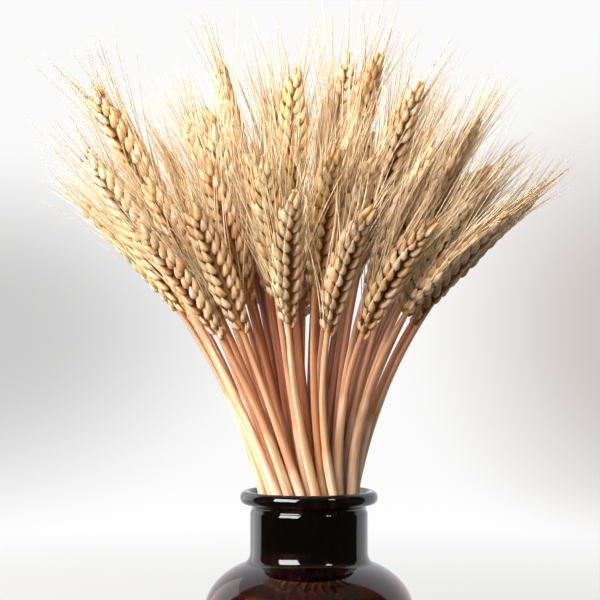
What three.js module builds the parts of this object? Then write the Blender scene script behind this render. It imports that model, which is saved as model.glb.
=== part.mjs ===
// A bunch of dried bearded wheat standing in a dark wide-mouth glass bottle.
// Millimetres, +Z up. The origin is the centre of the bottle's base, +X is its right and -Y its front.
// Each stalk is one grown piece: a stem, an ear of spikelets in two ranks, and the ear's awns.
import * as THREE from "three";

const { degToRad, lerp } = THREE.MathUtils;

// Bottle
const RIM_Z = 187.4;
const NECK_RADIUS = 29.5;
const BODY_RADIUS = 52.5;
const WALL = 3.2;
const FLOOR_Z = 5;
const HEEL = 8;
const SHOULDER = { r: 15, z: 127, steepest: 62 };
const SHOULDER_RISE = 27.5;
const NECK_FOOT_Z = 156;
const LIP = { r: 31.8, z: 184, halfWidth: 2.7, halfHeight: 3.4 };
const LATHE_SIDES = 24;
const UP = new THREE.Vector3(0, 0, 1);

// Bunch: the discs that its stems pass through, from the bottle's floor up to its mouth. The bunch is
// twisted, so each disc is turned, in degrees, against the one above it.
const STALKS = 59;
const GOLDEN_ANGLE = degToRad(137.508);
const FIRST_ANGLE = degToRad(20);
const FOOT = { x: 0, radius: 33, z: FLOOR_Z + 0.4, turn: -48 };
const WAIST = { x: 0.8, radius: 22.6, z: 146, turn: -16 };
const MOUTH = { x: 0, radius: 25.6, z: RIM_Z, turn: 0 };

// How far a stalk leans, in degrees: in the mouth, and at the middle of its ear
const MOUTH_LEAN = { middle: -4, across: 11, deep: 11, twist: 13, loose: 3 };
const EAR_LEAN = { middle: 1, across: 46, deep: 36, twist: 12, loose: 3 };

// Stalk: its ears start at these lengths above the mouth, so that together they make a dome
const STEM_RADIUS = 2.2;
const STEM_STEPS = 2;
const INNER_EAR_START = 137;
const OUTER_EAR_START = 86;
const SIDE_RISE = 16;
const DOME = 1.3;
const EAR_START_LOOSE = 16;
const EAR_LENGTH = 80;
const EAR_LENGTH_LOOSE = 5;
const ROLL_LOOSE = 40;

// Ears that stand apart from the dome, by stalk number: a longer or shorter stem, and more lean towards +X
const APART = {
  2: { rise: -8, lean: 0 },
  3: { rise: 4, lean: 0 },
  4: { rise: 22, lean: 1 },
  5: { rise: 19, lean: -2 },
  6: { rise: 8, lean: -2 },
  8: { rise: -24, lean: 0 },
  13: { rise: -14, lean: 2 },
  16: { rise: -12, lean: 0 },
  19: { rise: 0, lean: -1 },
  21: { rise: -25, lean: 0 },
  24: { rise: -8, lean: 9 },
  26: { rise: 42, lean: 0 },
  27: { rise: 4, lean: -5 },
  29: { rise: -20, lean: 0 },
  42: { rise: -22, lean: -4 },
  45: { rise: -14, lean: 11 },
  47: { rise: 14, lean: 3 },
  50: { rise: -18, lean: 6 },
  53: { rise: 3, lean: 8 },
  55: { rise: 8, lean: -7 },
  56: { rise: -9, lean: -3 },
  58: { rise: 0, lean: 4 },
};

// Ear: tiers of two spikelets, one on each flat side of the rachis, and one more at the top
const TIERS = 6;
const RACHIS = { halfSide: 1.3, halfThick: 2.2 };
const SPIKELET = { length: 13.5, width: 8, thickness: 3, belly: 0.5, lean: 27, topLean: 23, smallest: 0.7 };

// Awn: how far it ends beyond the ear, its leans and splay in degrees, and the swings and cuts to try in turn
const AWN = {
  beyondEar: 19,
  loose: 5,
  halfWidth: 0.45,
  lean: 13,
  topLean: 5,
  splay: 5,
  swings: [
    [0, 0],
    [0, -10],
    [-4, 3],
    [4, 3],
    [0, 8],
    [-5, -8],
  ],
  cuts: [1, 0.8, 0.6],
  clearance: 1.2,
  ownClearance: 0.9,
  earClearance: 6.5,
};

const glass = new THREE.MeshStandardMaterial({
  name: "amber_glass",
  color: 0x1a0f0b,
  roughness: 0.08,
  metalness: 0,
});
const straw = new THREE.MeshStandardMaterial({
  name: "wheat_straw",
  color: 0xc9a063,
  roughness: 0.75,
  metalness: 0,
});

// A number from -1 to 1 that is always the same for the same stalk and use.
function loose(index, use) {
  const wave = Math.sin(index * 12.9898 + use * 78.233) * 43758.5453;
  return 2 * (wave - Math.floor(wave)) - 1;
}

// A closed skin of triangles, put together ring by ring. Rings run anticlockwise, seen from outside.
class Skin {
  points = [];
  triangles = [];

  ring(points) {
    const first = this.points.length;
    this.points.push(...points);
    return points.map((_, k) => first + k);
  }

  // The ring of four that lies between side k of one ring and of the next.
  window(lower, upper, k) {
    const next = (k + 1) % lower.length;
    return [lower[k], lower[next], upper[next], upper[k]];
  }

  wall(lower, upper, k) {
    const [a, b, c, d] = this.window(lower, upper, k);
    this.triangles.push([a, b, c], [a, c, d]);
  }

  band(lower, upper) {
    lower.forEach((_, k) => this.wall(lower, upper, k));
  }

  spire(ring, tip) {
    const [apex] = this.ring([tip]);
    ring.forEach((from, k) => this.triangles.push([from, ring[(k + 1) % ring.length], apex]));
  }

  centreOf(ring) {
    const sum = ring.reduce((total, k) => total.add(this.points[k]), new THREE.Vector3());
    return sum.divideScalar(ring.length);
  }

  mesh(name, material) {
    const geometry = new THREE.BufferGeometry().setFromPoints(this.points);
    geometry.setIndex(this.triangles.flat());
    geometry.computeVertexNormals();
    const mesh = new THREE.Mesh(geometry, material);
    mesh.name = name;
    return mesh;
  }
}

// Points of an elliptical arc in the (radius, height) plane, between two angles in degrees.
function arc(centreR, centreZ, radiusR, radiusZ, from, to, steps) {
  return Array.from({ length: steps + 1 }, (_, step) => {
    const angle = degToRad(from + ((to - from) * step) / steps);
    return new THREE.Vector2(centreR + radiusR * Math.cos(angle), centreZ + radiusZ * Math.sin(angle));
  });
}

// The bottle is a lathed wall: up the outside, over the rolled lip, down the inside to its floor.
function bottle() {
  const across = BODY_RADIUS - SHOULDER.r;
  const innerNeck = NECK_RADIUS - WALL;
  const profile = [
    new THREE.Vector2(0, 0),
    ...arc(BODY_RADIUS - HEEL, HEEL, HEEL, HEEL, -90, 0, 2),
    ...arc(SHOULDER.r, SHOULDER.z, across, SHOULDER_RISE, 0, SHOULDER.steepest, 4),
    new THREE.Vector2(NECK_RADIUS, NECK_FOOT_Z),
    new THREE.Vector2(NECK_RADIUS, LIP.z - 1.5 * LIP.halfHeight),
    ...arc(LIP.r, LIP.z, LIP.halfWidth, LIP.halfHeight, -60, 100, 3),
    new THREE.Vector2(innerNeck, RIM_Z - 3.5 * WALL),
    new THREE.Vector2(innerNeck, NECK_FOOT_Z - 0.6 * WALL),
    ...arc(SHOULDER.r, SHOULDER.z, across - WALL, SHOULDER_RISE - WALL, SHOULDER.steepest, 0, 3),
    new THREE.Vector2(BODY_RADIUS - WALL, FLOOR_Z + WALL),
    new THREE.Vector2(BODY_RADIUS - HEEL, FLOOR_Z),
    new THREE.Vector2(0, FLOOR_Z),
  ];
  const mesh = new THREE.Mesh(new THREE.LatheGeometry(profile, LATHE_SIDES), glass);
  mesh.name = "bottle";
  mesh.rotation.x = Math.PI / 2;
  return mesh;
}

// The tilts of a stalk towards +X and +Y, in degrees: out from the bunch's middle, and round it.
function leanOf(rule, across, deep, index, use) {
  return [
    rule.middle + rule.across * across + rule.twist * deep + rule.loose * loose(index, use),
    rule.deep * deep - rule.twist * across + rule.loose * loose(index, use + 1),
  ];
}

// Where a stalk stands and how it grows. Stalks fill a disc as seeds fill a sunflower's head.
// across and deep are its place in that disc, from -1 to 1.
function planOf(index) {
  const out = Math.sqrt((index + 0.5) / STALKS);
  const angle = FIRST_ANGLE + index * GOLDEN_ANGLE;
  const across = out * Math.cos(angle);
  const deep = out * Math.sin(angle);
  const apart = APART[index + 1] ?? { rise: 0, lean: 0 };
  const outerStart = OUTER_EAR_START + SIDE_RISE * across ** 2;
  const earStart = lerp(INNER_EAR_START, outerStart, out ** DOME);
  const [earAcross, earDeep] = leanOf(EAR_LEAN, across, deep, index, 3);
  return {
    index,
    across,
    deep,
    earStart: earStart + EAR_START_LOOSE * loose(index, 1) + apart.rise,
    earLength: EAR_LENGTH + EAR_LENGTH_LOOSE * loose(index, 2),
    mouthLean: leanOf(MOUTH_LEAN, across, deep, index, 6),
    earLean: [earAcross + apart.lean, earDeep],
    roll: angle + Math.PI / 2 + degToRad(ROLL_LOOSE * loose(index, 5)),
  };
}

// The middle line of a stalk: straight to the waist, a curve to the mouth, and above that points by length s.
class StalkLine {
  static stride = 2;

  constructor(plan) {
    this.plan = plan;
    const [foot, waist, mouth] = [FOOT, WAIST, MOUTH].map((disc) => {
      const place = new THREE.Vector3(plan.across, plan.deep, 0).applyAxisAngle(UP, degToRad(disc.turn));
      return place.multiplyScalar(disc.radius).add(new THREE.Vector3(disc.x, 0, disc.z));
    });
    const pull = (mouth.z - waist.z) / 4;
    this.low = new THREE.LineCurve3(foot, waist);
    this.neck = new THREE.CubicBezierCurve3(
      waist,
      waist.clone().addScaledVector(this.low.getTangent(0), pull),
      mouth.clone().addScaledVector(this.headingAt(0), -pull),
      mouth,
    );
    this.above = [mouth];
    for (let s = StalkLine.stride / 2; s < this.end + StalkLine.stride; s += StalkLine.stride) {
      this.above.push(this.above.at(-1).clone().addScaledVector(this.headingAt(s), StalkLine.stride));
    }
  }

  get end() {
    return this.plan.earStart + this.plan.earLength;
  }

  // The direction of growth at length s above the mouth: the lean grows evenly along the stalk.
  headingAt(s) {
    const { mouthLean, earLean, earStart, earLength } = this.plan;
    const share = s / (earStart + earLength / 2);
    const [x, y] = [0, 1].map((k) => degToRad(lerp(mouthLean[k], earLean[k], share)));
    const lean = Math.hypot(x, y) || 1e-9;
    return new THREE.Vector3((Math.sin(lean) * x) / lean, (Math.sin(lean) * y) / lean, Math.cos(lean));
  }

  pointAbove(s) {
    const place = Math.min(s / StalkLine.stride, this.above.length - 1.001);
    const step = Math.floor(place);
    return new THREE.Vector3().lerpVectors(this.above[step], this.above[step + 1], place - step);
  }

  // The way from the foot to the ear, as points with the direction at each.
  stem() {
    const below = [
      [this.low, 0],
      [this.neck, 0],
      [this.neck, 0.5],
    ].map(([curve, t]) => ({ point: curve.getPoint(t), heading: curve.getTangent(t) }));
    const above = Array.from({ length: STEM_STEPS + 1 }, (_, step) => {
      const s = (step / STEM_STEPS) * (this.plan.earStart - STEM_RADIUS);
      return { point: this.pointAbove(s), heading: this.headingAt(s) };
    });
    return [...below, ...above];
  }
}

// The directions of a stalk's flat side and of its other side, square to its heading.
function sidesOf(heading, roll) {
  const side = new THREE.Vector3(Math.cos(roll), Math.sin(roll), 0);
  side.addScaledVector(heading, -side.dot(heading)).normalize();
  return { side, thick: new THREE.Vector3().crossVectors(heading, side) };
}

// The corners of a four-sided section round a point.
function corners(point, side, thick, halfSide, halfThick) {
  return [
    [1, -1],
    [1, 1],
    [-1, 1],
    [-1, -1],
  ].map(([a, b]) =>
    point
      .clone()
      .addScaledVector(side, a * halfSide)
      .addScaledVector(thick, b * halfThick),
  );
}

// The rachis section at tier number tier: its two flat sides are half a tier apart in height.
function rachisRing(line, tier) {
  const { earStart, roll } = line.plan;
  const pitch = tierPitch(line);
  const at = (s) => {
    const heading = line.headingAt(s);
    const { side, thick } = sidesOf(heading, roll);
    return corners(line.pointAbove(s), side, thick, RACHIS.halfSide, RACHIS.halfThick);
  };
  const low = at(earStart + tier * pitch);
  const high = at(earStart + (tier + 0.5) * pitch);
  return [low[0], low[1], high[2], high[3]];
}

function tierPitch(line) {
  return (line.plan.earLength - SPIKELET.length) / (TIERS + 0.5);
}

// A spikelet's place: share is how far up the ear it grows, and out is the way that it leans.
function spikeletFrame(line, base, foot, tier, rank) {
  const { earStart, roll } = line.plan;
  const terminal = tier === TIERS;
  const s = earStart + (tier + 0.5 * rank) * tierPitch(line);
  const share = tier / TIERS;
  const axis = line.headingAt(s);
  const out = sidesOf(axis, roll).side.multiplyScalar(rank ? -1 : 1);
  const lean = terminal ? 0 : lerp(SPIKELET.lean, SPIKELET.topLean, share);
  const size = SPIKELET.smallest + (1 - SPIKELET.smallest) * Math.sin(Math.PI * (0.2 + 0.65 * share));
  const heading = leaning(axis, out, lean);
  return {
    base,
    foot,
    axis,
    out,
    across: new THREE.Vector3().crossVectors(axis, out),
    outer: leaning(axis, out, lean + 90),
    heading,
    size,
    share,
    number: 2 * tier + rank,
    tip: foot.clone().addScaledVector(heading, SPIKELET.length * size),
  };
}

// The direction that leans from axis towards out, by degrees.
function leaning(axis, out, degrees) {
  const angle = degToRad(degrees);
  return axis.clone().multiplyScalar(Math.cos(angle)).addScaledVector(out, Math.sin(angle));
}

// A spikelet rises from a window in the rachis to its belly and tip, and the tip may run out into an awn.
function raiseSpikelet(skin, frame, awnTip) {
  const { foot, heading, outer, across, size, tip } = frame;
  const bellyAt = foot.clone().addScaledVector(heading, SPIKELET.belly * SPIKELET.length * size);
  const halfSide = (SPIKELET.thickness / 2) * size;
  const halfThick = (SPIKELET.width / 2) * size;
  const belly = skin.ring(corners(bellyAt, outer, across, halfSide, halfThick));
  skin.band(frame.base, belly);
  if (!awnTip) return skin.spire(belly, tip);
  const neck = skin.ring(corners(tip, outer, across, AWN.halfWidth, AWN.halfWidth));
  skin.band(belly, neck);
  return skin.spire(neck, awnTip);
}

// What awns keep clear of: lines with a thickness, each with the stalk that it belongs to.
function obstaclesOf(line) {
  const owner = line.plan.index;
  const { earStart } = line.plan;
  const marks = [0, 0.25, 0.5, 0.75, 1].map((share) => share * earStart);
  const earMarks = [0, 1 / 3, 2 / 3, 1].map((share) => earStart + share * (line.end - earStart));
  const along = (places, radius) =>
    places.slice(1).map((s, k) => ({
      segment: new THREE.Line3(line.pointAbove(places[k]), line.pointAbove(s)),
      radius,
      owner,
    }));
  return [...along(marks, STEM_RADIUS), ...along(earMarks, AWN.earClearance)];
}

function isClear(segment, owner, obstacles) {
  return obstacles.every((other) => {
    const own = other.owner === owner;
    if (own && other.radius) return true;
    const room = other.radius + (own ? AWN.ownClearance : AWN.clearance);
    return Math.sqrt(segment.distanceSqToLine3(other.segment)) > room;
  });
}

// The end of a spikelet's awn: the first of a few swings and lengths that keeps clear of everything else.
function awnTipOf(frame, line, obstacles) {
  const owner = line.plan.index;
  const whole = line.pointAbove(line.end).distanceTo(frame.tip) + AWN.beyondEar;
  const splay = AWN.splay * (frame.number % 4 < 2 ? 1 : -1);
  const lean = lerp(AWN.lean, AWN.topLean, frame.share) * (frame.share < 1 ? 1 : 0);
  for (const cut of AWN.cuts) {
    for (const [swing, turn] of AWN.swings) {
      const length = cut * (whole + AWN.loose * loose(owner, 10 + frame.number));
      const towards = leaning(leaning(frame.axis, frame.out, lean + swing), frame.across, splay + turn);
      const end = frame.tip.clone().addScaledVector(towards, length);
      const segment = new THREE.Line3(frame.tip, end);
      if (isClear(segment, owner, obstacles)) {
        obstacles.push({ segment, radius: 0, owner });
        return end;
      }
    }
  }
  return null;
}

function stalk(line, obstacles) {
  const { index, roll } = line.plan;
  const skin = new Skin();
  const flat = STEM_RADIUS * Math.SQRT1_2;
  const rings = line.stem().map(({ point, heading }) => {
    const { side, thick } = sidesOf(heading, roll);
    return skin.ring(corners(point, side, thick, flat, flat));
  });
  const [foot] = rings;
  skin.triangles.push([foot[2], foot[1], foot[0]], [foot[3], foot[2], foot[0]]);
  const tiers = Array.from({ length: TIERS + 1 }, (_, tier) => skin.ring(rachisRing(line, tier)));
  const plain = [...rings, tiers[0]];
  plain.slice(1).forEach((upper, k) => skin.band(plain[k], upper));

  const grow = (base, tier, rank) => {
    const frame = spikeletFrame(line, base, skin.centreOf(base), tier, rank);
    const bare = [1, 2].includes(frame.number % 4);
    raiseSpikelet(skin, frame, bare ? null : awnTipOf(frame, line, obstacles));
  };
  for (let tier = 0; tier < TIERS; tier++) {
    const [lower, upper] = [tiers[tier], tiers[tier + 1]];
    skin.wall(lower, upper, 1);
    skin.wall(lower, upper, 3);
    grow(skin.window(lower, upper, 0), tier, 0);
    grow(skin.window(lower, upper, 2), tier, 1);
  }
  grow(tiers[TIERS], TIERS, 0);
  return skin.mesh("wheat_stalk_" + String(index + 1).padStart(2, "0"), straw);
}

const bunch = new THREE.Group();
bunch.add(bottle());
const lines = Array.from({ length: STALKS }, (_, index) => new StalkLine(planOf(index)));
const obstacles = lines.flatMap(obstaclesOf);
lines.forEach((line) => bunch.add(stalk(line, obstacles)));

export default bunch;
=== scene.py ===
"""A bunch of dried bearded wheat in a dark amber bottle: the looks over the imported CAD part.

Lengths below are in millimetres, as in the part's source, and become metres when a piece is made.
+Z is up, +X is the bunch's right and -Y its front. Each stalk keeps the place, line and ear that
it has in the CAD, and gets round stems, real husks in place of plain spikelets, and every awn.
"""

from types import SimpleNamespace

import bpy
import numpy as np
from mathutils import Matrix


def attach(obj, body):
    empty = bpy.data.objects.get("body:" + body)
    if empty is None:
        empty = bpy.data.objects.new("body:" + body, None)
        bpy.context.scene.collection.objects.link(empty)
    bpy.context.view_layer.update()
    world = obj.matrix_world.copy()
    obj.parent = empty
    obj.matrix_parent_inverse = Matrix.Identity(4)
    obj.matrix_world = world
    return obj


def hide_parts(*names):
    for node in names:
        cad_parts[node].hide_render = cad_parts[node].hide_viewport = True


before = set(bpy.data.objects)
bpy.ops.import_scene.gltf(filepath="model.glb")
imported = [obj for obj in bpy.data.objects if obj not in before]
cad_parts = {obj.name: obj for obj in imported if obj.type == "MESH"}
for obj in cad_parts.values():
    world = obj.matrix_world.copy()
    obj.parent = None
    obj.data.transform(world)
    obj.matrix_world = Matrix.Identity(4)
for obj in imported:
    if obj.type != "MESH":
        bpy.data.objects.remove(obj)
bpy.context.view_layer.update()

METRES = 0.001
UP = np.array([0.0, 0.0, 1.0])

# Bottle
RIM_Z = 187.4
NECK_RADIUS = 29.5
BODY_RADIUS = 52.5
WALL = 3.2
FLOOR_Z = 5.0
HEEL = 8.0
SHOULDER_R, SHOULDER_Z, SHOULDER_RISE, SHOULDER_STEEPEST = 15.0, 127.0, 27.5, 62.0
LIP_R, LIP_Z, LIP_HALF_WIDTH, LIP_HALF_HEIGHT = 31.8, 184.0, 2.7, 3.4
NECK_FOOT_Z, NECK_TOP_Z = 157.6, 175.6
GROOVE_RADIUS = 28.8
GROOVE_FOOT_Z, GROOVE_TOP_Z = 177.9, 178.6
INNER_FOOT_Z, INNER_TOP_Z = 154.1, 176.2
BOTTLE_SIDES = 96

# Bunch: the discs that its stems pass through, as centre x, radius, height and turn in degrees
STALKS = 59
GOLDEN_ANGLE = np.radians(137.508)
FIRST_ANGLE = np.radians(20)
FOOT = (0.0, 33.0, FLOOR_Z + 0.4, -48.0)
WAIST = (0.8, 22.6, 146.0, -16.0)
MOUTH = (0.0, 25.6, RIM_Z, 0.0)
STEP = 2.0

# How far a stalk leans, in degrees: in the mouth, and at the middle of its ear
MOUTH_LEAN = {"middle": -4, "across": 11, "deep": 11, "twist": 13, "loose": 3}
EAR_LEAN = {"middle": 1, "across": 46, "deep": 36, "twist": 12, "loose": 3}

# The ears start at these lengths above the mouth, so that together they make a dome
INNER_EAR_START = 137
OUTER_EAR_START = 86
SIDE_RISE = 16
DOME = 1.3
EAR_START_LOOSE = 16
EAR_LENGTH = 80
EAR_LENGTH_LOOSE = 5
ROLL_LOOSE = 40

# Stalks that stand apart from the dome: by number, how much longer, and how much more to +X in degrees
APART = {
    2: (-8, 0),
    3: (4, 0),
    4: (22, 1),
    5: (19, -2),
    6: (8, -2),
    8: (-24, 0),
    13: (-14, 2),
    16: (-12, 0),
    19: (0, -1),
    21: (-25, 0),
    24: (-8, 9),
    26: (42, 0),
    27: (4, -5),
    29: (-20, 0),
    42: (-22, -4),
    45: (-14, 11),
    47: (14, 3),
    50: (-18, 6),
    53: (3, 8),
    55: (8, -7),
    56: (-9, -3),
    58: (0, 4),
}

# Stem: its radii, a sheath round it up to a length above the mouth, and a thinner rachis inside the ear
STEM_SIDES = 10
STEM_RADIUS = 2.45
STEM_RADIUS_LOOSE = 0.25
NECK_OF_STEM = 1.75
SHEATH = 0.3
SHEATH_END = 30
SHEATH_END_LOOSE = 26
RACHIS_RADII = (1.5, 0.7)
RACHIS_SHARE = 0.94

# Ear: tiers of two spikelets, one on each flat side, and one more on top
TIERS = 10
TOP_SPIKELET = 11.5
FIRST_SIZE = 0.6
LAST_SIZE = 0.8

# The husks of a spikelet, in millimetres and degrees: where each starts up, out of and across the
# ear, its length, half its depth and width, its lean at foot and tip, its turn across, and the
# share of them with an awn
GLUME = {"up": 0.0, "out": 1.2, "length": 9.0, "deep": 2.5, "wide": 2.0, "lean": (31, 4), "awn": 0.0}
LEMMA = {"up": 1.8, "out": 2.2, "length": 10.8, "deep": 2.6, "wide": 2.2, "lean": (47, 6), "awn": 0.62}
HUSKS = (
    {**GLUME, "across": 2.4, "turn": 18},
    {**GLUME, "across": -2.4, "turn": -18},
    {**LEMMA, "across": 1.3, "turn": 10},
    {**LEMMA, "across": -1.3, "turn": -10},
    {**LEMMA, "up": 3.8, "out": 2.8, "across": 0.0, "turn": 0, "length": 8.2, "deep": 2.0, "awn": 0.3},
)
HUSK_LOOSE = {"turn": 5, "lean": 4, "length": 0.06}
HUSK_SIDES = 8
HUSK_RINGS = np.array([0.02, 0.1, 0.24, 0.44, 0.67, 0.88])
HUSK_FLATNESS = 0.35

# Husks stay closer to the ear near its end, and closest on its top spikelet
CALM_END = 0.6
CALM_TOP = 0.35

# Awns: where along its husk each starts, how far they grow past the ear's end, their least and greatest
# length, and in degrees how far they lean out of the ear at its foot and at its end, and across it
AWN_RINGS = 8
AWN_RADIUS = 0.5
AWN_ROOT = 0.93
AWN_PAST_EAR = 9
AWN_LENGTHS = (24, 60)
AWN_LENGTH_LOOSE = 0.16
AWN_OUT = (23, 10)
AWN_OUT_LOOSE = 9
AWN_ACROSS_LOOSE = 12

# How many stalks are joined into one piece of the scene
STALKS_A_PIECE = 12

# Soft light panels: place, aim and size in metres, power in watts and tint. Three of them aren't mirrored,
# because they would whiten the glass, and the window lights nothing and is only mirrored.
PANELS = {
    "key_panel": {
        "place": (-1.36, -0.76, 1.0),
        "aim": (0, 0, 0.28),
        "size": (1.9, 1.5),
        "power": 104,
        "tint": (1.0, 0.97, 0.92),
        "mirrored": False,
    },
    "mirrored_window": {
        "place": (-0.98, -1.13, 0.83),
        "aim": (0, 0, 0.28),
        "size": (1.15, 0.97),
        "power": 62,
        "tint": (0.96, 0.98, 1.0),
        "spreads": False,
    },
    "back_left_panel": {
        "place": (-2.0, 1.5, 0.9),
        "aim": (0, 0, 0.3),
        "size": (1.7, 2.2),
        "power": 10,
        "tint": (1.0, 0.99, 0.97),
    },
    "left_fill": {
        "place": (-2.0, 0.1, 0.8),
        "aim": (0, 0, 0.3),
        "size": (1.8, 1.8),
        "power": 26,
        "tint": (1.0, 0.97, 0.93),
        "mirrored": False,
    },
    "front_fill": {
        "place": (-0.7, -1.85, 0.85),
        "aim": (0, 0, 0.3),
        "size": (1.6, 1.0),
        "power": 46,
        "tint": (1.0, 0.94, 0.84),
        "mirrored": False,
    },
    "right_panel": {
        "place": (0.95, -1.0, 1.3),
        "aim": (0, 0, 0.28),
        "size": (0.3, 0.25),
        "power": 5,
        "tint": (1.0, 0.95, 0.88),
    },
}

# Camera: at the height of the ears' feet and level, as the photo shows the lip almost edge on
CAMERA_PLACE = (-0.0045, -1.1, 0.2825)
CAMERA_LENS = 132


def loose(index, use):
    """A number from -1 to 1 that is always the same for one index and use: twice the fraction of a big
    sine, less one."""
    wave = np.sin(index * 12.9898 + use * 78.233) * 43758.5453
    return 2 * (wave - np.floor(wave)) - 1


def unit(vectors):
    """Each vector over its own length."""
    return vectors / np.linalg.norm(vectors, axis=-1, keepdims=True)


def mix(low, high, share):
    """The straight mix of low and high."""
    return low + (high - low) * share


def ease(value):
    """A smooth step from 0 to 1, as 3v^2 - 2v^3."""
    value = np.clip(value, 0, 1)
    return value * value * (3 - 2 * value)


def lean_by_place(lean, across, deep, index, use):
    """The lean of each stalk to +X and +Y in degrees: its place in the disc times the outward lean, and the
    place a quarter turn on times the twist."""
    spread = lean["middle"] + lean["across"] * across + lean["twist"] * deep
    depth = lean["deep"] * deep - lean["twist"] * across
    slack = lean["loose"] * np.stack([loose(index, use), loose(index, use + 1)], -1)
    return np.stack([spread, depth], -1) + slack


def plan_stalks():
    """Where each stalk stands and how it grows, with the CAD's own rules: seeds of a sunflower in a disc,
    leans that grow with the distance from the middle, and ears that start lower towards the edge."""
    index = np.arange(STALKS)
    out = np.sqrt((index + 0.5) / STALKS)
    angle = FIRST_ANGLE + index * GOLDEN_ANGLE
    across = out * np.cos(angle)
    deep = out * np.sin(angle)
    apart = np.zeros((STALKS, 2))
    apart[[number - 1 for number in APART]] = list(APART.values())
    ear_lean = lean_by_place(EAR_LEAN, across, deep, index, 3)
    ear_lean[:, 0] += apart[:, 1]
    ear_start = mix(INNER_EAR_START, OUTER_EAR_START + SIDE_RISE * across**2, out**DOME)
    return SimpleNamespace(
        across=across,
        deep=deep,
        ear_start=ear_start + EAR_START_LOOSE * loose(index, 1) + apart[:, 0],
        ear_length=EAR_LENGTH + EAR_LENGTH_LOOSE * loose(index, 2),
        mouth_lean=lean_by_place(MOUTH_LEAN, across, deep, index, 6),
        ear_lean=ear_lean,
        roll=angle + np.pi / 2 + np.radians(ROLL_LOOSE * loose(index, 5)),
    )


def heading_at(stalk, s):
    """The direction of growth at length s above the mouth: the lean grows evenly from mouth to ear."""
    share = (s / (plan.ear_start[stalk] + plan.ear_length[stalk] / 2))[..., None]
    lean = np.radians(mix(plan.mouth_lean[stalk], plan.ear_lean[stalk], share))
    size = np.maximum(np.hypot(lean[..., 0], lean[..., 1]), 1e-9)[..., None]
    return np.concatenate([np.sin(size) / size * lean, np.cos(size)], -1)


def disc_at(disc):
    """The point of each stalk in a disc of the bunch: the disc's centre, and its radius times the stalk's
    own place, which is turned about the upright by the disc's angle."""
    x, radius, z, turn = disc
    cos, sin = np.cos(np.radians(turn)), np.sin(np.radians(turn))
    across = plan.across * cos - plan.deep * sin
    deep = plan.across * sin + plan.deep * cos
    return np.stack([x + radius * across, radius * deep, np.full(STALKS, z)], -1)


def lines_above():
    """Points of every stalk each STEP above the mouth: the running sum of its headings, from the mouth."""
    longest = (plan.ear_start + plan.ear_length).max() + 2 * STEP
    middles = np.arange(STEP / 2, longest, STEP)
    stalk = np.arange(STALKS)[:, None]
    steps = STEP * heading_at(stalk, np.broadcast_to(middles, (STALKS, len(middles))))
    return disc_at(MOUTH)[:, None] + np.concatenate([np.zeros((STALKS, 1, 3)), steps.cumsum(1)], 1)


def point_above(stalk, s):
    """The point of a stalk at length s above the mouth, straight between the two nearest of its points."""
    place = np.clip(s / STEP, 0, above.shape[1] - 1.001)
    step = place.astype(int)
    return mix(above[stalk, step], above[stalk, step + 1], (place - step)[..., None])


def sides_of(heading, roll):
    """The two directions square to a heading: the one that roll names, laid square to it, and the other."""
    side = np.stack([np.cos(roll), np.sin(roll), np.zeros_like(roll)], -1)
    side = unit(side - (side * heading).sum(-1, keepdims=True) * heading)
    return side, np.cross(heading, side)


def bezier(a, b, c, d, t):
    """Points and headings of cubic curves with the four points a, b, c, d at the shares t."""
    a, b, c, d = (p[:, None] for p in (a, b, c, d))
    t = t[None, :, None]
    point = (1 - t) ** 3 * a + 3 * (1 - t) ** 2 * t * b + 3 * (1 - t) * t**2 * c + t**3 * d
    slope = (1 - t) ** 2 * (b - a) + 2 * (1 - t) * t * (c - b) + t**2 * (d - c)
    return point, unit(slope)


def rings_round(centre, side, thick, half_side, half_thick, sides):
    """Rings round a line: centre + half_side cos(a) side + half_thick sin(a) thick, at even angles a."""
    angle = 2 * np.pi * np.arange(sides) / sides
    along_side = (half_side[..., None] * np.cos(angle))[..., None] * side[..., None, :]
    along_thick = (half_thick[..., None] * np.sin(angle))[..., None] * thick[..., None, :]
    return centre[..., None, :] + along_side + along_thick


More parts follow.
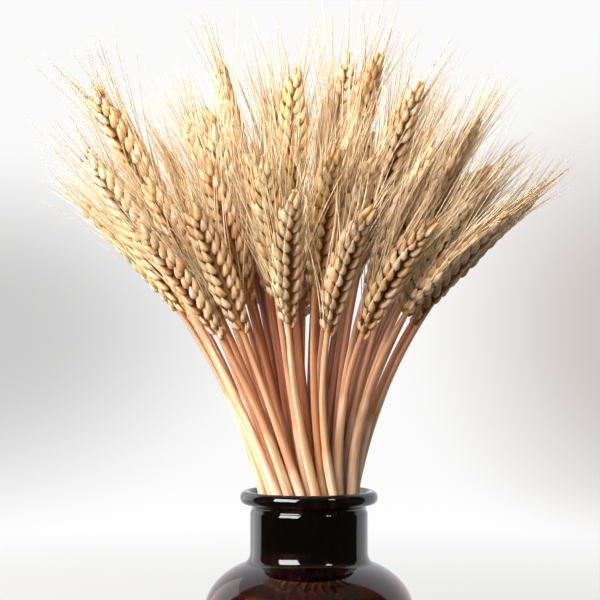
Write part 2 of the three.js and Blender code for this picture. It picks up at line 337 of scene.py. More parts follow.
def closed_tubes(rings, first, last, along, material, **marks):
    """Skins of many tubes at once, from rings (tube, ring, side, 3) and the two poles that close each.

    Four corners join each side of a ring to the next ring, and a fan joins each end ring to its pole.
    u runs once round a tube, v is along, given for each ring. Marks are one number a tube or a ring.
    """
    tubes, count, sides = rings.shape[:3]
    k = np.arange(sides)
    after = (k + 1) % sides
    row = np.arange(count - 1)[:, None] * sides
    walls = np.stack([row + k, row + after, row + sides + after, row + sides + k], -1).reshape(-1, 4)
    top = (count - 1) * sides
    foot = np.stack([np.full(sides, count * sides), after, k], -1)
    tip = np.stack([top + k, top + after, np.full(sides, count * sides + 1)], -1)
    corners = np.concatenate([walls.ravel(), foot.ravel(), tip.ravel()])
    sizes = np.concatenate([np.full(len(walls), 4), np.full(2 * sides, 3)])
    u_wall = np.stack([k, k + 1, k + 1, k], -1)
    u = np.concatenate(
        [
            np.tile(u_wall.ravel(), count - 1),
            np.stack([k + 0.5, k + 1, k], -1).ravel(),
            np.stack([k, k + 1, k + 0.5], -1).ravel(),
        ]
    )
    along = np.broadcast_to(along, (tubes, count))
    v_points = np.concatenate([np.repeat(along, sides, 1), along[:, :1], along[:, -1:]], 1)
    per_tube = count * sides + 2

    def spread(mark):
        """A mark repeated for every point of its tube or ring."""
        mark = np.asarray(mark, float)
        if mark.ndim < 2:
            return np.repeat(np.broadcast_to(mark, (tubes,)), per_tube)
        return np.concatenate([np.repeat(mark, sides, 1), mark[:, :1], mark[:, -1:]], 1).ravel()

    points = np.concatenate([rings.reshape(tubes, -1, 3), first[:, None], last[:, None]], 1)
    return SimpleNamespace(
        points=points.reshape(-1, 3),
        corners=(corners + per_tube * np.arange(tubes)[:, None]).ravel(),
        sizes=np.tile(sizes, tubes),
        uv=np.stack([np.tile(u / sides, tubes), v_points[:, corners].ravel()], -1),
        material=material,
        marks={name: spread(mark) for name, mark in marks.items()},
    )


def make_piece(name, skins, materials, nodes):
    """Puts skins into one mesh in metres, with smooth faces, a UV map and the skins' marks as attributes."""
    first = np.cumsum([0, *(len(s.points) for s in skins)])
    corners = np.concatenate([s.corners + start for s, start in zip(skins, first)])
    sizes = np.concatenate([s.sizes for s in skins])
    points = np.concatenate([s.points for s in skins]) * METRES
    mesh = bpy.data.meshes.new(name)
    mesh.vertices.add(len(points))
    mesh.vertices.foreach_set("co", points.astype(np.float32).ravel())
    mesh.loops.add(len(corners))
    mesh.loops.foreach_set("vertex_index", corners.astype(np.int32))
    mesh.polygons.add(len(sizes))
    mesh.polygons.foreach_set("loop_start", (np.cumsum(sizes) - sizes).astype(np.int32))
    uv = np.concatenate([s.uv for s in skins])
    mesh.uv_layers.new(name="UVMap").data.foreach_set("uv", uv.astype(np.float32).ravel())
    for mark in skins[0].marks:
        values = np.concatenate([s.marks[mark] for s in skins])
        mesh.attributes.new(mark, "FLOAT", "POINT").data.foreach_set("value", values.astype(np.float32))
    names = [m.name for m in materials]
    material = np.concatenate([np.full(len(s.sizes), names.index(s.material)) for s in skins])
    for m in materials:
        mesh.materials.append(m)
    mesh.polygons.foreach_set("material_index", material.astype(np.int32))
    mesh.polygons.foreach_set("use_smooth", np.ones(len(sizes), bool))
    mesh.update(calc_edges=True)
    piece = bpy.data.objects.new(name, mesh)
    bpy.context.scene.collection.objects.link(piece)
    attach(piece, "root")
    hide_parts(*nodes)


def stems(stalks):
    """Round stems: straight up to the waist, a cubic curve to the mouth and the CAD's line above it, swept
    by a circle.

    The radius eases from the stem's own down to its thin neck under the ear, and falls evenly along the
    rachis inside it. Up to the end of its sheath a stem is a little thicker. v is 1 where the ear starts.
    """
    foot, waist, mouth = (disc_at(disc)[stalks] for disc in (FOOT, WAIST, MOUTH))
    pull = (MOUTH[2] - WAIST[2]) / 4
    rise = unit(waist - foot)
    start = heading_at(stalks, np.zeros(len(stalks)))
    low = bezier(foot, mix(foot, waist, 1 / 3), mix(foot, waist, 2 / 3), waist, np.linspace(0, 1, 6)[:-1])
    neck = bezier(waist, waist + pull * rise, mouth - pull * start, mouth, np.linspace(0, 1, 10)[:-1])
    share = np.linspace(0, 1, 34)[None]
    ear_start = plan.ear_start[stalks, None]
    s = share * (ear_start + RACHIS_SHARE * plan.ear_length[stalks, None])
    which = np.broadcast_to(stalks[:, None], s.shape)
    centre = np.concatenate([low[0], neck[0], point_above(which, s)], 1)
    heading = np.concatenate([low[1], neck[1], heading_at(which, s)], 1)
    side, thick = sides_of(heading, np.broadcast_to(plan.roll[stalks, None], heading.shape[:2]))
    mouth_ring = low[0].shape[1] + neck[0].shape[1]
    below = np.full((len(stalks), mouth_ring), -1.0)
    s = np.concatenate([below, s], 1)
    sheath_end = SHEATH_END + SHEATH_END_LOOSE * loose(stalks, 21)[:, None]
    wrapped = 1 - ease((s - sheath_end) / 3)
    own_radius = STEM_RADIUS + STEM_RADIUS_LOOSE * loose(stalks, 20)[:, None]
    bare_radius = mix(own_radius, NECK_OF_STEM, ease(s / ear_start)) + SHEATH * (wrapped - 1)
    in_ear = (s - ear_start) / plan.ear_length[stalks, None]
    radius = np.where(in_ear > 0, mix(*RACHIS_RADII, in_ear), bare_radius)
    steps = np.linalg.norm(np.diff(centre, axis=1), axis=-1)
    run = np.concatenate([np.zeros((len(stalks), 1)), steps.cumsum(1)], 1)
    return closed_tubes(
        rings_round(centre, side, thick, radius, radius, STEM_SIDES),
        centre[:, 0],
        centre[:, -1],
        run / (run[:, [mouth_ring]] + ear_start),
        "stem_straw",
        stalk_tone=0.5 + 0.5 * loose(stalks, 22),
        husk_tone=0.5 + 0.5 * loose(stalks, 23),
        green=np.clip(loose(stalks, 24) - 0.4, 0, 1),
        grain_mm=run,
        wrapped=wrapped,
        # Mask of the painted shade on the stems deep inside the bunch.
        inside=hidden_by_others(stalks),
    )


def hidden_by_others(stalks):
    """How far inside the bunch a stalk stands: 1 up to 0.45 of its radius, and down to 0 at 0.9 of it. It is
    the mask of the painted shade on the stems and husks deep in the bunch.
    """
    return 1 - ease((np.hypot(plan.across[stalks], plan.deep[stalks]) - 0.45) / 0.45)


def spikelets_of(stalks):
    """Every spikelet of these stalks: tier t of rank r starts at the ear's start + (t + r / 2) pitches, and
    the last one stands alone on top. Its out direction is the flat side of the ear that it grows from."""
    tier = np.tile(np.append(np.repeat(np.arange(TIERS), 2), TIERS), len(stalks))
    rank = np.tile(np.append(np.tile([0, 1], TIERS), 0), len(stalks))
    stalk = np.repeat(stalks, 2 * TIERS + 1)
    pitch = (plan.ear_length[stalk] - TOP_SPIKELET) / (TIERS + 0.5)
    s = plan.ear_start[stalk] + (tier + 0.5 * rank) * pitch
    share = tier / TIERS
    axis = heading_at(stalk, s)
    side, _ = sides_of(axis, plan.roll[stalk])
    out = side * np.where(rank, -1, 1)[:, None]
    return SimpleNamespace(
        stalk=stalk,
        number=2 * tier + rank + 40 * stalk,
        share=share,
        top=tier == TIERS,
        foot=point_above(stalk, s),
        to_end=plan.ear_start[stalk] + plan.ear_length[stalk] - s,
        axis=axis,
        out=out,
        across=np.cross(axis, out),
        size=mix(FIRST_SIZE, 1.0, ease(share / 0.28)) * mix(1.0, LAST_SIZE, ease((share - 0.6) / 0.4)),
    )


def husk_line(places, husk, t):
    """The bent middle line of one husk of every spikelet, its headings and the way out of the ear from it.

    The lean changes evenly from foot to tip, so at share t the point lies
    length (sin(foot + turn t) - sin(foot)) / turn up and length (cos(foot) - cos(foot + turn t)) / turn out.
    """
    number = places.number + 7 * husk["number"]
    turned = np.radians(husk["turn"] + HUSK_LOOSE["turn"] * loose(number, 31))[:, None]
    out = np.cos(turned) * places.out + np.sin(turned) * places.across
    calm = np.where(places.top, CALM_TOP, mix(1.0, CALM_END, ease((places.share - 0.5) / 0.5)))
    lean = np.radians((husk["lean"][0] + HUSK_LOOSE["lean"] * loose(number, 32)) * calm)[:, None]
    bend = np.radians((husk["lean"][1] - husk["lean"][0]) * calm)[:, None]
    length = (husk["length"] * places.size * (1 + HUSK_LOOSE["length"] * loose(number, 33)))[:, None]
    foot = (
        places.foot
        + (husk["up"] * places.size)[:, None] * places.axis
        + (husk["out"] * places.size * calm)[:, None] * places.out
        + (husk["across"] * places.size)[:, None] * places.across
    )
    here = lean + bend * t
    rise = length * (np.sin(here) - np.sin(lean)) / bend
    reach = length * (np.cos(lean) - np.cos(here)) / bend
    axis = places.axis[:, None]
    out = out[:, None]
    centre = foot[:, None] + rise[..., None] * axis + reach[..., None] * out
    heading = np.cos(here)[..., None] * axis + np.sin(here)[..., None] * out
    outer = -np.sin(here)[..., None] * axis + np.cos(here)[..., None] * out
    return centre, heading, outer, length[:, 0], foot


def drop_width(t):
    """The outline of a husk, round below and pointed above: t^0.5 (1 - t)^1.1, over about its greatest
    value."""
    greatest = 0.3707
    return t**0.5 * (1 - t) ** 1.1 / greatest


def husks(stalks):
    """The husks of these stalks: drops, elliptical in section and flatter on the side that faces the ear."""
    places = spikelets_of(stalks)
    skins = []
    for number, kind in enumerate(HUSKS):
        husk = {**kind, "number": number}
        centre, heading, outer, length, foot = husk_line(places, husk, HUSK_RINGS[None])
        tip = husk_line(places, husk, np.ones((1, 1)))[0][:, 0]
        lateral = np.cross(heading, outer)
        width = drop_width(HUSK_RINGS)[None] * places.size[:, None]
        rings = rings_round(centre, outer, lateral, husk["deep"] * width, husk["wide"] * width, HUSK_SIDES)
        inward = ((rings - centre[:, :, None]) * outer[:, :, None]).sum(-1, keepdims=True)
        rings = rings - HUSK_FLATNESS * np.minimum(inward, 0) * outer[:, :, None]
        skins.append(
            closed_tubes(
                rings,
                foot,
                tip,
                HUSK_RINGS,
                "husk_straw",
                stalk_tone=0.5 + 0.5 * loose(places.stalk, 22),
                husk_tone=0.5 + 0.5 * loose(places.number + 7 * number, 34),
                green=np.clip(loose(places.stalk, 24) - 0.2, 0, 1),
                grain_mm=HUSK_RINGS[None] * length[:, None],
                # On husks this mark is the share of the painted shade on the side that faces the ear: full
                # up to 0.6 of the ear, none at its end.
                wrapped=1 - ease((places.share - 0.6) / 0.4),
                # Mask of the painted shade on the lower part of ears inside the bunch.
                inside=hidden_by_others(places.stalk) * (1 - ease(places.share / 0.7)),
            )
        )
    return skins


def awns(stalks):
    """The awns of these stalks: thin three-sided needles along cubic curves, from the husks' tips.

    Each starts along its husk's tip, and ends a little out and to one side of the ear's own direction.
    Its radius falls from foot to tip as (1 - t)^0.9.
    """
    places = spikelets_of(stalks)
    skins = []
    for number, kind in enumerate(HUSKS):
        key = places.number + 7 * number
        grown = 0.5 + 0.5 * loose(key, 40) < kind["awn"]
        if not grown.any():
            continue
        some = SimpleNamespace(**{name: value[grown] for name, value in vars(places).items()})
        key = key[grown]
        husk = {**kind, "number": number}
        centre, heading = husk_line(some, husk, np.array([[AWN_ROOT]]))[:2]
        foot, start = centre[:, 0], heading[:, 0]
        length = np.clip(some.to_end + AWN_PAST_EAR, *AWN_LENGTHS) * (1 + AWN_LENGTH_LOOSE * loose(key, 41))
        out_by = np.radians(mix(*AWN_OUT, some.share) + AWN_OUT_LOOSE * loose(key, 42))[:, None]
        side_by = np.radians(0.5 * kind["turn"] + AWN_ACROSS_LOOSE * loose(key, 43))[:, None]
        end_way = unit(some.axis + np.tan(out_by) * some.out + np.tan(side_by) * some.across)
        way = unit(some.axis + np.tan(0.8 * out_by) * some.out + np.tan(0.7 * side_by) * some.across)
        length = length[:, None]
        end = foot + length * way
        t = np.arange(AWN_RINGS) / AWN_RINGS
        line, heading = bezier(foot, foot + 0.22 * length * start, end - 0.4 * length * end_way, end, t)
        side, thick = sides_of(heading, np.broadcast_to(loose(key, 44)[:, None] * 3, heading.shape[:2]))
        radius = np.broadcast_to(AWN_RADIUS * (1 - t) ** 0.9, heading.shape[:2])
        skins.append(
            closed_tubes(
                rings_round(line, side, thick, radius, radius, 3),
                line[:, 0] - 0.2 * heading[:, 0],
                end,
                t,
                "awn_straw",
                stalk_tone=0.5 + 0.5 * loose(some.stalk, 22),
                husk_tone=0.5 + 0.5 * loose(key, 45),
                green=np.clip(loose(some.stalk, 24) - 0.2, 0, 1),
                grain_mm=t[None] * length,
                wrapped=0.0,
                inside=0.0,
            )
        )
    return skins


def arc(centre_r, centre_z, radius_r, radius_z, start, stop, steps):
    """Points of an elliptical arc in the plane of radius and height, between two angles in degrees."""
    angle = np.radians(np.linspace(start, stop, steps))
    return np.stack([centre_r + radius_r * np.cos(angle), centre_z + radius_z * np.sin(angle)], -1)


def fillet(a, b, c, steps):
    """Points of the bent line from a to c that b pulls, without its ends: at t they are
    (1 - t)^2 a + 2 (1 - t) t b + t^2 c."""
    t = np.linspace(0, 1, steps + 2)[1:-1, None]
    return (1 - t) ** 2 * np.array(a) + 2 * (1 - t) * t * np.array(b) + t**2 * np.array(c)


def bottle():
    """The bottle's wall, turned round its axis: up the outside, over the rolled lip and down the inside."""
    across = BODY_RADIUS - SHOULDER_R
    inner_neck = NECK_RADIUS - WALL
    shoulder = arc(SHOULDER_R, SHOULDER_Z, across, SHOULDER_RISE, 0, SHOULDER_STEEPEST, 26)
    lip = arc(LIP_R, LIP_Z, LIP_HALF_WIDTH, LIP_HALF_HEIGHT, -60, 150, 22)
    inner = arc(SHOULDER_R, SHOULDER_Z, across - WALL, SHOULDER_RISE - WALL, SHOULDER_STEEPEST, 0, 18)
    profile = np.concatenate(
        [
            [[20, 0], [40, 0]],
            arc(BODY_RADIUS - HEEL, HEEL, HEEL, HEEL, -90, 0, 10),
            [[BODY_RADIUS, 40], [BODY_RADIUS, 80], [BODY_RADIUS, 110]],
            shoulder,
            fillet(shoulder[-1], (NECK_RADIUS, 152.4), (NECK_RADIUS, NECK_FOOT_Z), 7),
            [[NECK_RADIUS, NECK_FOOT_Z], [NECK_RADIUS, 166], [NECK_RADIUS, NECK_TOP_Z]],
            fillet((NECK_RADIUS, NECK_TOP_Z), (NECK_RADIUS, 177.0), (GROOVE_RADIUS, GROOVE_FOOT_Z), 4),
            [[GROOVE_RADIUS, GROOVE_FOOT_Z], [GROOVE_RADIUS, GROOVE_TOP_Z]],
            fillet((GROOVE_RADIUS, GROOVE_TOP_Z), (GROOVE_RADIUS + 0.6, 180.4), lip[0], 6),
            lip,
            fillet(lip[-1], (inner_neck + 0.4, 183.4), (inner_neck, INNER_TOP_Z), 5),
            [[inner_neck, INNER_TOP_Z], [inner_neck, 160], [inner_neck, INNER_FOOT_Z]],
            inner,
            [[BODY_RADIUS - WALL, 100], [BODY_RADIUS - WALL, 50]],
            arc(BODY_RADIUS - HEEL, FLOOR_Z + WALL, HEEL - WALL, WALL, 0, -90, 6),
            [[20, FLOOR_Z]],
        ]
    )
    radius, height = profile.T[:, None]
    centre = height[..., None] * UP
    side = np.broadcast_to([1.0, 0, 0], centre.shape)
    thick = np.broadcast_to([0, 1.0, 0], centre.shape)
    rings = rings_round(centre, side, thick, radius, radius, BOTTLE_SIDES)
    run = np.concatenate([[0], np.linalg.norm(np.diff(profile, axis=0), axis=-1).cumsum()])
    return closed_tubes(rings, np.zeros((1, 3)), FLOOR_Z * UP[None], run[None] / run[-1], "dark_amber")


def add_node(tree, kind, inputs=None, **settings):
    """Adds a shader node, sets it up, and gives its inputs a value or a link."""
    made = tree.nodes.new(kind)
    for name, value in settings.items():
        setattr(made, name, value)
    for name, value in (inputs or {}).items():
        if isinstance(value, bpy.types.NodeSocket):
            tree.links.new(value, made.inputs[name])
        else:
            made.inputs[name].default_value = value
    return made


def math_node(tree, operation, *values):
    """The output of a Math node with these values."""
    return add_node(tree, "ShaderNodeMath", dict(enumerate(values)), operation=operation).outputs[0]


def between(tree, value, low, high, to_low=0.0, to_high=1.0, how="LINEAR"):
    """A value's place between low and high, as a number from to_low to to_high."""
    inputs = {"Value": value, "From Min": low, "From Max": high, "To Min": to_low, "To Max": to_high}
    return add_node(tree, "ShaderNodeMapRange", inputs, interpolation_type=how).outputs["Result"]


def blended(tree, share, low, high):
    """Two colours mixed by share."""
    made = add_node(tree, "ShaderNodeMix", data_type="RGBA")
    for socket, value in ((made.inputs[0], share), (made.inputs[6], low), (made.inputs[7], high)):
        if isinstance(value, bpy.types.NodeSocket):
            tree.links.new(value, socket)
        else:
            socket.default_value = value
    return made.outputs[2]


def colour(text):
    """A colour written as six hexadecimal digits, in linear light."""
    parts = np.array([int(text[k : k + 2], 16) for k in (0, 2, 4)]) / 255
    linear = np.where(parts <= 0.04045, parts / 12.92, ((parts + 0.055) / 1.055) ** 2.4)
    return (*linear.tolist(), 1.0)


def mark_node(tree, name):
    """The value of one of a piece's own marks."""
    return add_node(tree, "ShaderNodeAttribute", attribute_name=name).outputs["Fac"]


def group_of(name, takes, gives):
    """An empty node group with these number inputs and outputs, and its two end nodes."""
    tree = bpy.data.node_groups.new(name, "ShaderNodeTree")
    for name_in, default in takes.items():
        socket = tree.interface.new_socket(name_in, in_out="INPUT", socket_type="NodeSocketFloat")
        socket.default_value = default
    for name_out in gives:
        tree.interface.new_socket(name_out, in_out="OUTPUT", socket_type="NodeSocketFloat")
    return tree, tree.nodes.new("NodeGroupInput").outputs, tree.nodes.new("NodeGroupOutput").inputs


def straw_grain_group():
    """Fine fibres that run along a stem, husk or awn, and softer blotches of age between them.

    Around is the place round the piece, from 0 to 1, and Along the way up it in millimetres. Fibres are
    noise on a cylinder of radius Count, so they close round the piece, stretched along it.
    """
    inputs = {"Around": 0.0, "Along": 0.0, "Count": 3.0, "Stretch": 0.05, "Seed": 0.0}
    tree, takes, gives = group_of("straw_grain", inputs, ["Fibres", "Blotches"])
    turn = math_node(tree, "MULTIPLY", takes["Around"], 2 * np.pi)
    x = math_node(tree, "MULTIPLY", math_node(tree, "COSINE", turn), takes["Count"])
    y = math_node(tree, "MULTIPLY", math_node(tree, "SINE", turn), takes["Count"])
    seed = math_node(tree, "MULTIPLY", takes["Seed"], 91.7)
    along = math_node(tree, "ADD", math_node(tree, "MULTIPLY", takes["Along"], takes["Stretch"]), seed)
    place = add_node(tree, "ShaderNodeCombineXYZ", {"X": x, "Y": y, "Z": along}).outputs[0]
    fine = {"Vector": place, "Scale": 1.6, "Detail": 3.0, "Roughness": 0.6}
    fibres = add_node(tree, "ShaderNodeTexNoise", fine)
    tree.links.new(between(tree, fibres.outputs["Fac"], 0.32, 0.68), gives["Fibres"])
    slow = add_node(tree, "ShaderNodeVectorMath", {0: place, 1: (0.3, 0.3, 2.2)}, operation="MULTIPLY")
    coarse = {"Vector": slow.outputs[0], "Scale": 1.3, "Detail": 2.0}
    spots = add_node(tree, "ShaderNodeTexNoise", coarse)
    tree.links.new(between(tree, spots.outputs["Fac"], 0.38, 0.66), gives["Blotches"])
    return tree


def new_material(name):
    """An empty node material and its Principled shader."""
    material = bpy.data.materials.new(name)
    material.use_nodes = True
    tree = material.node_tree
    tree.nodes.clear()
    shader = tree.nodes.new("ShaderNodeBsdfPrincipled")
    out = tree.nodes.new("ShaderNodeOutputMaterial")
    tree.links.new(shader.outputs["BSDF"], out.inputs["Surface"])
    return material, tree, shader


def straw_material(name, grain, count, stretch, bump, paint):
    """A dried straw finish: paint mixes its colours, and the grain's fibres give the bump and the sheen."""
    material, tree, shader = new_material(name)
    uv = add_node(tree, "ShaderNodeSeparateXYZ", {0: tree.nodes.new("ShaderNodeUVMap").outputs[0]})
    marks = SimpleNamespace(
        around=uv.outputs["X"],
        along=uv.outputs["Y"],
        stalk=mark_node(tree, "stalk_tone"),
        husk=mark_node(tree, "husk_tone"),
        green=mark_node(tree, "green"),
        wrapped=mark_node(tree, "wrapped"),
        inside=mark_node(tree, "inside"),
    )
    inputs = {
        "Around": marks.around,
        "Along": mark_node(tree, "grain_mm"),
        "Count": count,
        "Stretch": stretch,
        "Seed": math_node(tree, "ADD", marks.stalk, marks.husk),
    }
    made = add_node(tree, "ShaderNodeGroup", inputs, node_tree=grain)
    marks.fibres, marks.blotches = made.outputs["Fibres"], made.outputs["Blotches"]
    tree.links.new(paint(tree, marks), shader.inputs["Base Color"])
    tree.links.new(between(tree, marks.fibres, 0, 1, 0.5, 0.75), shader.inputs["Roughness"])
    height = {"Height": marks.fibres, "Strength": bump, "Distance": 0.0002}
    tree.links.new(add_node(tree, "ShaderNodeBump", height).outputs[0], shader.inputs["Normal"])
    return material


def paint_husk(tree, marks):
    """Straw tan that differs from stalk to stalk, pale at the tip, some of it pink or greenish, with painted
    shade: a deep brown low on the ears inside the bunch, and on the side of each husk that faces the ear."""
    tan = blended(tree, marks.stalk, colour("D2A870"), colour("ECD4AC"))
    pale = blended(tree, between(tree, marks.husk, 0.45, 1.0, 0, 0.85), tan, colour("F4E6CE"))
    pink = blended(tree, between(tree, marks.husk, 0.22, 0.0, 0, 0.6), pale, colour("D89C78"))
    green = blended(tree, math_node(tree, "MULTIPLY", marks.green, 0.9), pink, colour("C0B068"))
    tip = blended(tree, between(tree, marks.along, 0.5, 1.0, 0, 0.4), green, colour("ECD8B0"))
    aged = blended(tree, between(tree, marks.blotches, 0, 1, 0, 0.4), tip, colour("B07840"))
    lined = blended(tree, between(tree, marks.fibres, 0, 1, 0.52, 0), aged, colour("8A5624"))
    # Painted shade: deep brown on the lower husks of ears inside the bunch.
    deep = blended(tree, math_node(tree, "MULTIPLY", marks.inside, 0.55), lined, colour("8A4C18"))
    # Painted shade: dark brown on the side of each husk that faces the ear, fading out towards the ear's
    # end.
    outward = math_node(tree, "COSINE", math_node(tree, "MULTIPLY", marks.around, 2 * np.pi))
    shaded = math_node(tree, "MULTIPLY", between(tree, outward, 0.0, -0.7, 0, 0.9), marks.wrapped)
    return blended(tree, shaded, deep, colour("7E400C"))


def paint_awn(tree, marks):
    """Pale straw, a little browner at the foot of an awn."""
    straw = blended(tree, marks.husk, colour("BEA078"), colour("E4CEAE"))
    return blended(tree, between(tree, marks.along, 0, 0.3, 0.4, 0), straw, colour("A87440"))


def paint_stem(tree, marks):
    """Pinkish tan to cream from stem to stem, paler where the sheath still wraps it, with painted shade in
    dark brown on the stems deep inside the bunch, and straw in the ear."""
    bare = blended(tree, marks.stalk, colour("B4764E"), colour("ECC4A2"))
    sheath = blended(tree, marks.husk, colour("DABA96"), colour("F0DCC2"))
    skin = blended(tree, marks.wrapped, bare, sheath)
    yellow = blended(tree, between(tree, marks.green, 0.3, 0.6, 0, 0.8), skin, colour("DDB468"))
    aged = blended(tree, between(tree, marks.blotches, 0, 1, 0, 0.5), yellow, colour("C4805C"))
    lined = blended(tree, between(tree, marks.fibres, 0, 1, 0.6, 0), aged, colour("84502C"))
    # Painted shade: dark brown on the stems deep inside the bunch.
    deep = blended(tree, math_node(tree, "MULTIPLY", marks.inside, 0.75), lined, colour("7A340E"))
    return blended(tree, between(tree, marks.along, 0.99, 1.01), deep, colour("B4824A"))


def amber_glass():
    """Near-black amber glass: smooth, a little wavy where the mould cooled unevenly, and red-brown in the
    body."""
    material, tree, shader = new_material("dark_amber")
    place = tree.nodes.new("ShaderNodeTexCoord").outputs["Object"]
    waves = add_node(tree, "ShaderNodeTexNoise", {"Vector": place, "Scale": 28.0, "Detail": 1.0})
    dust = add_node(tree, "ShaderNodeTexNoise", {"Vector": place, "Scale": 900.0, "Detail": 3.0})
    tree.links.new(between(tree, dust.outputs["Fac"], 0.5, 0.75, 0.02, 0.07), shader.inputs["Roughness"])
    height = {"Height": waves.outputs["Fac"], "Strength": 0.25, "Distance": 0.002}
    tree.links.new(add_node(tree, "ShaderNodeBump", height).outputs[0], shader.inputs["Normal"])
    body_tint = blended(tree, waves.outputs["Fac"], (0.10, 0.020, 0.009, 1), (0.15, 0.030, 0.012, 1))
    neck_tint = (0.013, 0.006, 0.005, 1)
    height_up = add_node(tree, "ShaderNodeSeparateXYZ", {0: place}).outputs["Z"]
    tint = blended(tree, between(tree, height_up, 0.143, 0.157), body_tint, neck_tint)
    tree.links.new(tint, shader.inputs["Base Color"])
    shader.inputs["Transmission Weight"].default_value = 1.0
    shader.inputs["IOR"].default_value = 1.5
    return material


def round_patch(tree, place, centre, size):
    """A soft patch, 1 at its centre and 0 from its edge on: an ellipsoid's spherical gradient."""
    inputs = {"Vector": place, "Location": centre, "Scale": size}
    mapped = add_node(tree, "ShaderNodeMapping", inputs, vector_type="TEXTURE").outputs[0]
    patch = add_node(tree, "ShaderNodeTexGradient", {"Vector": mapped}, gradient_type="SPHERICAL")
    return patch.outputs["Fac"]


def studio():
    """A round pale room: a flat floor that curves up into a wall, turned about the bunch.

    The camera sees it, and it catches shadows, but light and reflections come from the panels and the air.
    It glows more and more away from the bunch, and two soft darker patches on its wall are painted shade.
    """
    wall, bend = 3000, 900
    floor = [[4, 0], [300, 0], [700, 0], [1200, 0], [1700, 0]]
    corner = arc(wall - bend, bend, bend, bend, -90, 0, 14)
    profile = np.concatenate([floor, corner, [[wall, 2200], [wall, 4200]]])
    turn = np.radians(np.arange(72) * 5)
    round_floor = np.outer(profile[:, 0], np.cos(turn)), np.outer(profile[:, 0], np.sin(turn))
    points = np.stack([*round_floor, np.repeat(profile[:, 1:], len(turn), 1)], -1)
    rows, columns = points.shape[:2]
    k = np.arange(columns)
    row = np.arange(rows - 1)[:, None] * columns
    after = (k + 1) % columns
    faces = np.stack([row + k, row + after, row + columns + after, row + columns + k], -1).reshape(-1, 4)
    mesh = bpy.data.meshes.new("studio_room")
    mesh.from_pydata((points.reshape(-1, 3) * METRES).tolist(), [], [*faces.tolist(), k.tolist()])
    mesh.shade_smooth()
    material, tree, shader = new_material("pale_studio")
    place = tree.nodes.new("ShaderNodeTexCoord").outputs["Object"]
    # Painted shade: two soft darker patches on the wall, at the back left and the back right.
    painted_shade_left = round_patch(tree, place, (-0.6, 2.7, 0.22), (0.6, 2.0, 0.37))
    painted_shade_right = round_patch(tree, place, (0.64, 2.7, 0.2), (0.5, 2.4, 0.56))
    paint = blended(tree, between(tree, painted_shade_left, 0, 0.8, how="SMOOTHSTEP"), colour("FFFFFF"), colour("CFCFCF"))
    paint = blended(tree, between(tree, painted_shade_right, 0, 0.8, how="SMOOTHSTEP"), paint, colour("CFC8C4"))
    parts = add_node(tree, "ShaderNodeSeparateXYZ", {0: place})
    flat = add_node(tree, "ShaderNodeCombineXYZ", {"X": parts.outputs["X"], "Y": parts.outputs["Y"]})
    away = add_node(tree, "ShaderNodeVectorMath", {0: flat.outputs[0]}, operation="LENGTH").outputs["Value"]
    far = between(tree, away, 0.4, 1.6)
    glow = blended(tree, between(tree, far, 0, 1, 0.15, 0.93), (0, 0, 0, 1), paint)
    tree.links.new(glow, shader.inputs["Emission Color"])
    shader.inputs["Emission Strength"].default_value = 1.0
    tree.links.new(blended(tree, far, colour("A8A8A8"), colour("303030")), shader.inputs["Base Color"])
    shader.inputs["Roughness"].default_value = 0.9
    shader.inputs["Specular IOR Level"].default_value = 0.1
    mesh.materials.append(material)
    room = bpy.data.objects.new("studio_room", mesh)
    room.visible_diffuse = False
    room.visible_glossy = False
    room.visible_shadow = False
    bpy.context.scene.collection.objects.link(room)


def add_light(name, place, aim, size, power, tint, mirrored=True, spreads=True):
    """A soft rectangular panel of light at place, turned towards aim. One that isn't mirrored leaves no
    highlight, and one that doesn't spread leaves nothing else."""
    data = bpy.data.lights.new(name, "AREA")
    data.shape = "RECTANGLE"
    data.size, data.size_y = size
    data.energy = power
    data.color = tint
    panel = bpy.data.objects.new(name, data)
    panel.location = place
    way = np.array(aim) - np.array(place)
    turn = np.arctan2(way[1], way[0]) - np.pi / 2
    tilt = np.pi / 2 + np.arctan2(way[2], np.hypot(way[0], way[1]))
    panel.rotation_euler = (tilt, 0, turn)
    panel.visible_glossy = mirrored
    panel.visible_diffuse = spreads
    bpy.context.scene.collection.objects.link(panel)


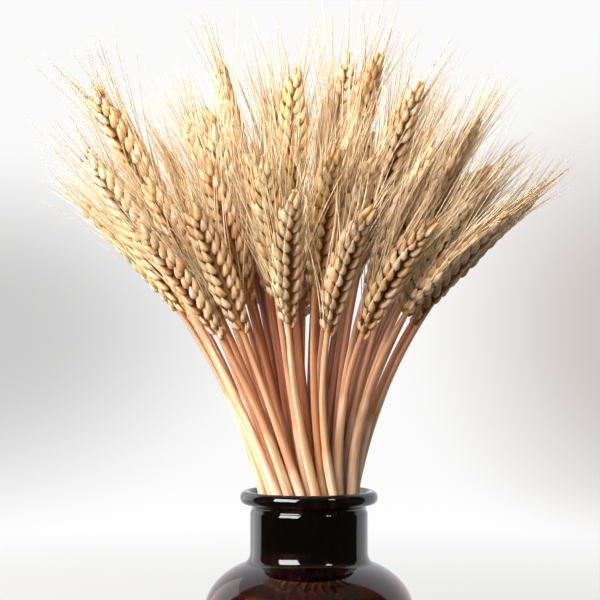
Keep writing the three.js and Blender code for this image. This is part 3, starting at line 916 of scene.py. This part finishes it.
def studio_air():
    """The light that comes from all round: bright and cool from behind, soft and warm from above, dim
    from the front."""
    world = bpy.data.worlds.new("studio_air")
    world.use_nodes = True
    tree = world.node_tree
    back = tree.nodes["Background"]
    around = tree.nodes.new("ShaderNodeTexCoord").outputs["Generated"]
    way = add_node(tree, "ShaderNodeSeparateXYZ", {0: around})
    rear = between(tree, way.outputs["Y"], 0.27, 0.31)
    behind = between(tree, rear, 0, 1, 0.06, 1.15)
    above = between(tree, way.outputs["Z"], 0.45, 0.85, 0.0, 0.34)
    tree.links.new(math_node(tree, "MAXIMUM", behind, above), back.inputs["Strength"])
    tree.links.new(blended(tree, rear, (1.0, 0.86, 0.68, 1), (0.90, 0.95, 1.0, 1)), back.inputs["Color"])
    bpy.context.scene.world = world


def light_and_camera():
    """A large soft key from the front left and above, fills from the left and front, a panel at the back
    left and a weak one at the right, a window that is only mirrored, and a level camera."""
    for name, panel in PANELS.items():
        add_light(name, **panel)
    scene = bpy.context.scene
    scene.view_settings.view_transform = "Standard"
    camera = bpy.data.cameras.new("photo_view")
    camera.lens = CAMERA_LENS
    camera.sensor_width = 36
    camera.clip_start, camera.clip_end = 0.05, 20
    seen = bpy.data.objects.new("photo_view", camera)
    seen.location = CAMERA_PLACE
    seen.rotation_euler = (np.pi / 2, 0, 0)
    scene.collection.objects.link(seen)
    scene.camera = seen


plan = plan_stalks()
above = lines_above()

grain = straw_grain_group()
straws = [
    straw_material("husk_straw", grain, 1.3, 0.12, 0.9, paint_husk),
    straw_material("stem_straw", grain, 1.1, 0.02, 0.35, paint_stem),
    straw_material("awn_straw", grain, 1.0, 0.05, 0.0, paint_awn),
]
make_piece("bottle_glass", [bottle()], [amber_glass()], ["bottle"])
for first in range(0, STALKS, STALKS_A_PIECE):
    last = min(first + STALKS_A_PIECE, STALKS)
    stalks = np.arange(first, last)
    skins = [stems(stalks), *husks(stalks), *awns(stalks)]
    nodes = [f"wheat_stalk_{number:02d}" for number in range(first + 1, last + 1)]
    make_piece(f"wheat_{first + 1:02d}_to_{last:02d}", skins, straws, nodes)
studio()
studio_air()
light_and_camera()
